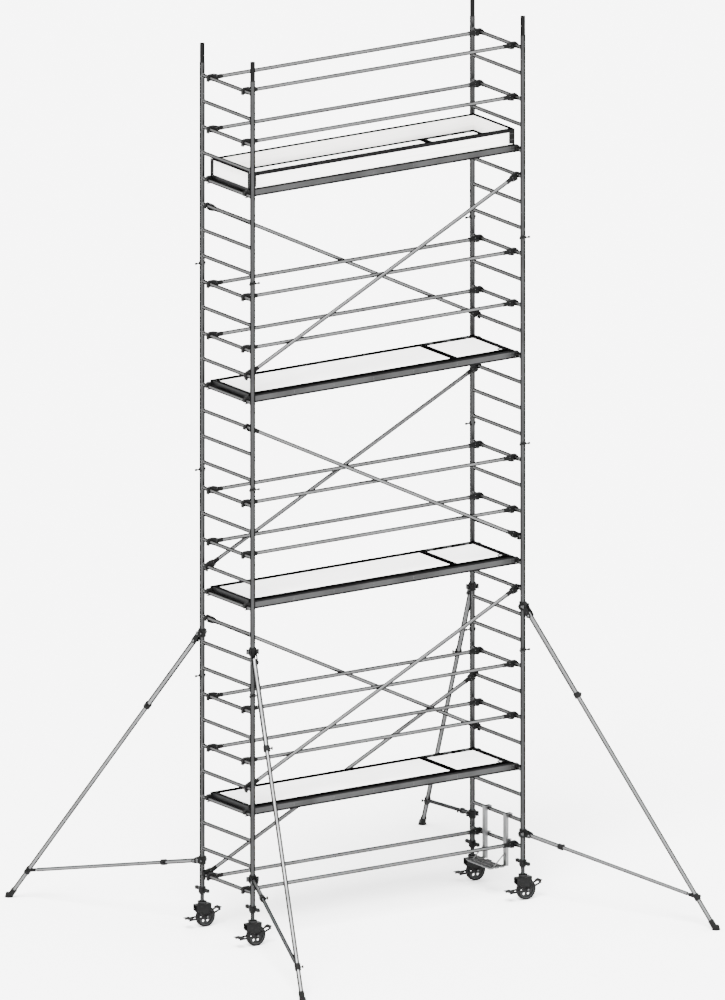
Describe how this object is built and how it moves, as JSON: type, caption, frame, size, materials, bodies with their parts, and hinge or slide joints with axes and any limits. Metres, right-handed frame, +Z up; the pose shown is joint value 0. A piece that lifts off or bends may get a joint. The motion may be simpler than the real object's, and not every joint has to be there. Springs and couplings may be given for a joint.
{
  "type": "mobile tower scaffold",
  "caption": "Tall aluminium mobile access tower with ladder end frames, trapdoor decks, guardrails, diagonal braces, levelling castors and telescopic outriggers.",
  "frame": {"origin": "on the ground, at the centre of the footprint of the tower and its outriggers", "axes": "+X along the long side of the bay, +Y across it to the back, +Z up"},
  "size_m": [4.9218, 4.8882, 8.575],
  "materials": {
    "alloy_tube": "satin extruded tube",
    "deck_beam": "mill finish extrusion",
    "deck_board": "pale grey coated anti-slip plywood",
    "toe_board": "pale sealed timber",
    "claw": "black glass-filled nylon",
    "clip": "black spring steel",
    "step_alloy": "brushed strip",
    "spindle": "zinc plated",
    "nut": "black coated casting",
    "fork": "black powder coat",
    "wheel_centre": "grey moulded nylon",
    "tyre": "black rubber",
    "pedal": "dark powder coat",
    "outrigger_tube": "satin extruded tube"
  },
  "bodies": {
    "tower": {"end_frame_left_1": "alloy_tube", "end_frame_left_2": "alloy_tube", "end_frame_left_3": "alloy_tube", "end_frame_left_4": "alloy_tube", "end_frame_right_1": "alloy_tube", "end_frame_right_2": "alloy_tube", "end_frame_right_3": "alloy_tube", "end_frame_right_4": "alloy_tube", "frame_clips": "clip", "level_rails": "alloy_tube", "diagonal_braces": "alloy_tube", "brace_claws": "claw", "deck_frames": "deck_beam", "deck_boards": "deck_board", "toe_boards": "toe_board", "access_step": "step_alloy"},
    "hatch_1": {"hatch_1": "deck_board"},
    "hatch_2": {"hatch_2": "deck_board"},
    "hatch_3": {"hatch_3": "deck_board"},
    "hatch_4": {"hatch_4": "deck_board"},
    "castor_leg_left_front": {"castor_leg_left_front": "spindle"},
    "levelling_nut_left_front": {"levelling_nut_left_front": "nut"},
    "castor_fork_left_front": {"castor_fork_left_front": "fork"},
    "castor_wheel_left_front": {"castor_wheel_left_front": "wheel_centre", "castor_tyre_left_front": "tyre"},
    "brake_pedal_left_front": {"brake_pedal_left_front": "pedal"},
    "outrigger_left_front": {"outrigger_strut_left_front": "outrigger_tube"},
    "outrigger_leg_left_front": {"outrigger_leg_left_front": "outrigger_tube"},
    "outrigger_arm_left_front": {"outrigger_arm_left_front": "outrigger_tube"},
    "outrigger_arm_tube_left_front": {"outrigger_arm_tube_left_front": "outrigger_tube"},
    "castor_leg_right_front": {"castor_leg_right_front": "spindle"},
    "levelling_nut_right_front": {"levelling_nut_right_front": "nut"},
    "castor_fork_right_front": {"castor_fork_right_front": "fork"},
    "castor_wheel_right_front": {"castor_wheel_right_front": "wheel_centre", "castor_tyre_right_front": "tyre"},
    "brake_pedal_right_front": {"brake_pedal_right_front": "pedal"},
    "outrigger_right_front": {"outrigger_strut_right_front": "outrigger_tube"},
    "outrigger_leg_right_front": {"outrigger_leg_right_front": "outrigger_tube"},
    "outrigger_arm_right_front": {"outrigger_arm_right_front": "outrigger_tube"},
    "outrigger_arm_tube_right_front": {"outrigger_arm_tube_right_front": "outrigger_tube"},
    "castor_leg_left_back": {"castor_leg_left_back": "spindle"},
    "levelling_nut_left_back": {"levelling_nut_left_back": "nut"},
    "castor_fork_left_back": {"castor_fork_left_back": "fork"},
    "castor_wheel_left_back": {"castor_wheel_left_back": "wheel_centre", "castor_tyre_left_back": "tyre"},
    "brake_pedal_left_back": {"brake_pedal_left_back": "pedal"},
    "outrigger_left_back": {"outrigger_strut_left_back": "outrigger_tube"},
    "outrigger_leg_left_back": {"outrigger_leg_left_back": "outrigger_tube"},
    "outrigger_arm_left_back": {"outrigger_arm_left_back": "outrigger_tube"},
    "outrigger_arm_tube_left_back": {"outrigger_arm_tube_left_back": "outrigger_tube"},
    "castor_leg_right_back": {"castor_leg_right_back": "spindle"},
    "levelling_nut_right_back": {"levelling_nut_right_back": "nut"},
    "castor_fork_right_back": {"castor_fork_right_back": "fork"},
    "castor_wheel_right_back": {"castor_wheel_right_back": "wheel_centre", "castor_tyre_right_back": "tyre"},
    "brake_pedal_right_back": {"brake_pedal_right_back": "pedal"},
    "outrigger_right_back": {"outrigger_strut_right_back": "outrigger_tube"},
    "outrigger_leg_right_back": {"outrigger_leg_right_back": "outrigger_tube"},
    "outrigger_arm_right_back": {"outrigger_arm_right_back": "outrigger_tube"},
    "outrigger_arm_tube_right_back": {"outrigger_arm_tube_right_back": "outrigger_tube"}
  },
  "joints": [
    {"name": "hatch_1_hinge", "type": "hinge", "parent": "tower", "child": "hatch_1", "pos_m": [1.1535, 0.2845, 1.3265], "axis": [-1, 0, 0], "range_deg": [0, 87]},
    {"name": "hatch_2_hinge", "type": "hinge", "parent": "tower", "child": "hatch_2", "pos_m": [1.1535, 0.2845, 3.3265], "axis": [-1, 0, 0], "range_deg": [0, 87]},
    {"name": "hatch_3_hinge", "type": "hinge", "parent": "tower", "child": "hatch_3", "pos_m": [1.1535, 0.2845, 5.3265], "axis": [-1, 0, 0], "range_deg": [0, 87]},
    {"name": "hatch_4_hinge", "type": "hinge", "parent": "tower", "child": "hatch_4", "pos_m": [1.1535, 0.2845, 7.3265], "axis": [-1, 0, 0], "range_deg": [0, 87]},
    {"name": "nut_turn_left_front", "type": "hinge", "parent": "tower", "child": "levelling_nut_left_front", "pos_m": [-1.525, -0.425, 0.36], "axis": [0, 0, 1], "range_deg": [0, 9000]},
    {"name": "leg_extend_left_front", "type": "slide", "parent": "tower", "child": "castor_leg_left_front", "axis": [0, 0, -1], "range_m": [0, 0.2]},
    {"name": "swivel_left_front", "type": "hinge", "parent": "castor_leg_left_front", "child": "castor_fork_left_front", "pos_m": [-1.525, -0.425, 0.23], "axis": [0, 0, 1], "continuous": true},
    {"name": "wheel_roll_left_front", "type": "hinge", "parent": "castor_fork_left_front", "child": "castor_wheel_left_front", "pos_m": [-1.49, -0.425, 0.1], "axis": [0, 1, 0], "continuous": true},
    {"name": "brake_left_front", "type": "hinge", "parent": "castor_fork_left_front", "child": "brake_pedal_left_front", "pos_m": [-1.49, -0.425, 0.1], "axis": [0, 1, 0], "range_deg": [0, 20]},
    {"name": "outrigger_swing_left_front", "type": "hinge", "parent": "tower", "child": "outrigger_left_front", "pos_m": [-1.525, -0.425, 1.75], "axis": [0, 0, 1], "range_deg": [-20, 20]},
    {"name": "outrigger_extend_left_front", "type": "slide", "parent": "outrigger_left_front", "child": "outrigger_leg_left_front", "axis": [-0.2124, -0.5534, -0.8053], "range_m": [0, 0.1]},
    {"name": "arm_pitch_left_front", "type": "hinge", "parent": "outrigger_left_front", "child": "outrigger_arm_left_front", "pos_m": [-1.55367, -0.49969, 0.63482], "axis": [0.9336, -0.3584, 0], "range_deg": [0, 2.09]},
    {"name": "arm_extend_left_front", "type": "slide", "parent": "outrigger_arm_left_front", "child": "outrigger_arm_tube_left_front", "axis": [-0.3521, -0.9172, -0.1864], "range_m": [0, 0.0745]},
    {"name": "nut_turn_right_front", "type": "hinge", "parent": "tower", "child": "levelling_nut_right_front", "pos_m": [1.525, -0.425, 0.36], "axis": [0, 0, 1], "range_deg": [0, 9000]},
    {"name": "leg_extend_right_front", "type": "slide", "parent": "tower", "child": "castor_leg_right_front", "axis": [0, 0, -1], "range_m": [0, 0.2]},
    {"name": "swivel_right_front", "type": "hinge", "parent": "castor_leg_right_front", "child": "castor_fork_right_front", "pos_m": [1.525, -0.425, 0.23], "axis": [0, 0, 1], "continuous": true},
    {"name": "wheel_roll_right_front", "type": "hinge", "parent": "castor_fork_right_front", "child": "castor_wheel_right_front", "pos_m": [1.56, -0.425, 0.1], "axis": [0, 1, 0], "continuous": true},
    {"name": "brake_right_front", "type": "hinge", "parent": "castor_fork_right_front", "child": "brake_pedal_right_front", "pos_m": [1.56, -0.425, 0.1], "axis": [0, 1, 0], "range_deg": [0, 20]},
    {"name": "outrigger_swing_right_front", "type": "hinge", "parent": "tower", "child": "outrigger_right_front", "pos_m": [1.525, -0.425, 1.75], "axis": [0, 0, 1], "range_deg": [-20, 20]},
    {"name": "outrigger_extend_right_front", "type": "slide", "parent": "outrigger_right_front", "child": "outrigger_leg_right_front", "axis": [0.2505, -0.5373, -0.8053], "range_m": [0, 0.1]},
    {"name": "arm_pitch_right_front", "type": "hinge", "parent": "outrigger_right_front", "child": "outrigger_arm_right_front", "pos_m": [1.55881, -0.4975, 0.63482], "axis": [0.9063, 0.4226, 0], "range_deg": [0, 2.09]},
    {"name": "arm_extend_right_front", "type": "slide", "parent": "outrigger_arm_right_front", "child": "outrigger_arm_tube_right_front", "axis": [0.4152, -0.8904, -0.1864], "range_m": [0, 0.0745]},
    {"name": "nut_turn_left_back", "type": "hinge", "parent": "tower", "child": "levelling_nut_left_back", "pos_m": [-1.525, 0.425, 0.36], "axis": [0, 0, 1], "range_deg": [0, 9000]},
    {"name": "leg_extend_left_back", "type": "slide", "parent": "tower", "child": "castor_leg_left_back", "axis": [0, 0, -1], "range_m": [0, 0.2]},
    {"name": "swivel_left_back", "type": "hinge", "parent": "castor_leg_left_back", "child": "castor_fork_left_back", "pos_m": [-1.525, 0.425, 0.23], "axis": [0, 0, 1], "continuous": true},
    {"name": "wheel_roll_left_back", "type": "hinge", "parent": "castor_fork_left_back", "child": "castor_wheel_left_back", "pos_m": [-1.49, 0.425, 0.1], "axis": [0, 1, 0], "continuous": true},
    {"name": "brake_left_back", "type": "hinge", "parent": "castor_fork_left_back", "child": "brake_pedal_left_back", "pos_m": [-1.49, 0.425, 0.1], "axis": [0, 1, 0], "range_deg": [0, 20]},
    {"name": "outrigger_swing_left_back", "type": "hinge", "parent": "tower", "child": "outrigger_left_back", "pos_m": [-1.525, 0.425, 1.75], "axis": [0, 0, 1], "range_deg": [-20, 20]},
    {"name": "outrigger_extend_left_back", "type": "slide", "parent": "outrigger_left_back", "child": "outrigger_leg_left_back", "axis": [-0.2505, 0.5373, -0.8053], "range_m": [0, 0.1]},
    {"name": "arm_pitch_left_back", "type": "hinge", "parent": "outrigger_left_back", "child": "outrigger_arm_left_back", "pos_m": [-1.55881, 0.4975, 0.63482], "axis": [-0.9063, -0.4226, 0], "range_deg": [0, 2.09]},
    {"name": "arm_extend_left_back", "type": "slide", "parent": "outrigger_arm_left_back", "child": "outrigger_arm_tube_left_back", "axis": [-0.4152, 0.8904, -0.1864], "range_m": [0, 0.0745]},
    {"name": "nut_turn_right_back", "type": "hinge", "parent": "tower", "child": "levelling_nut_right_back", "pos_m": [1.525, 0.425, 0.36], "axis": [0, 0, 1], "range_deg": [0, 9000]},
    {"name": "leg_extend_right_back", "type": "slide", "parent": "tower", "child": "castor_leg_right_back", "axis": [0, 0, -1], "range_m": [0, 0.2]},
    {"name": "swivel_right_back", "type": "hinge", "parent": "castor_leg_right_back", "child": "castor_fork_right_back", "pos_m": [1.525, 0.425, 0.23], "axis": [0, 0, 1], "continuous": true},
    {"name": "wheel_roll_right_back", "type": "hinge", "parent": "castor_fork_right_back", "child": "castor_wheel_right_back", "pos_m": [1.56, 0.425, 0.1], "axis": [0, 1, 0], "continuous": true},
    {"name": "brake_right_back", "type": "hinge", "parent": "castor_fork_right_back", "child": "brake_pedal_right_back", "pos_m": [1.56, 0.425, 0.1], "axis": [0, 1, 0], "range_deg": [0, 20]},
    {"name": "outrigger_swing_right_back", "type": "hinge", "parent": "tower", "child": "outrigger_right_back", "pos_m": [1.525, 0.425, 1.75], "axis": [0, 0, 1], "range_deg": [-20, 20]},
    {"name": "outrigger_extend_right_back", "type": "slide", "parent": "outrigger_right_back", "child": "outrigger_leg_right_back", "axis": [0.2124, 0.5534, -0.8053], "range_m": [0, 0.1]},
    {"name": "arm_pitch_right_back", "type": "hinge", "parent": "outrigger_right_back", "child": "outrigger_arm_right_back", "pos_m": [1.55367, 0.49969, 0.63482], "axis": [-0.9336, 0.3584, 0], "range_deg": [0, 2.09]},
    {"name": "arm_extend_right_back", "type": "slide", "parent": "outrigger_arm_right_back", "child": "outrigger_arm_tube_right_back", "axis": [0.3521, 0.9172, -0.1864], "range_m": [0, 0.0745]}
  ],
  "couplings": [
    {"joint": "leg_extend_left_front", "follows": "nut_turn_left_front", "m_per_rad": 0.0012732},
    {"joint": "arm_pitch_left_front", "follows": "outrigger_extend_left_front", "rad_per_m": 0.36506},
    {"joint": "arm_extend_left_front", "follows": "outrigger_extend_left_front", "ratio": 0.74497},
    {"joint": "leg_extend_right_front", "follows": "nut_turn_right_front", "m_per_rad": 0.0012732},
    {"joint": "arm_pitch_right_front", "follows": "outrigger_extend_right_front", "rad_per_m": 0.36506},
    {"joint": "arm_extend_right_front", "follows": "outrigger_extend_right_front", "ratio": 0.74497},
    {"joint": "leg_extend_left_back", "follows": "nut_turn_left_back", "m_per_rad": 0.0012732},
    {"joint": "arm_pitch_left_back", "follows": "outrigger_extend_left_back", "rad_per_m": 0.36506},
    {"joint": "arm_extend_left_back", "follows": "outrigger_extend_left_back", "ratio": 0.74497},
    {"joint": "leg_extend_right_back", "follows": "nut_turn_right_back", "m_per_rad": 0.0012732},
    {"joint": "arm_pitch_right_back", "follows": "outrigger_extend_right_back", "rad_per_m": 0.36506},
    {"joint": "arm_extend_right_back", "follows": "outrigger_extend_right_back", "ratio": 0.74497}
  ]
}
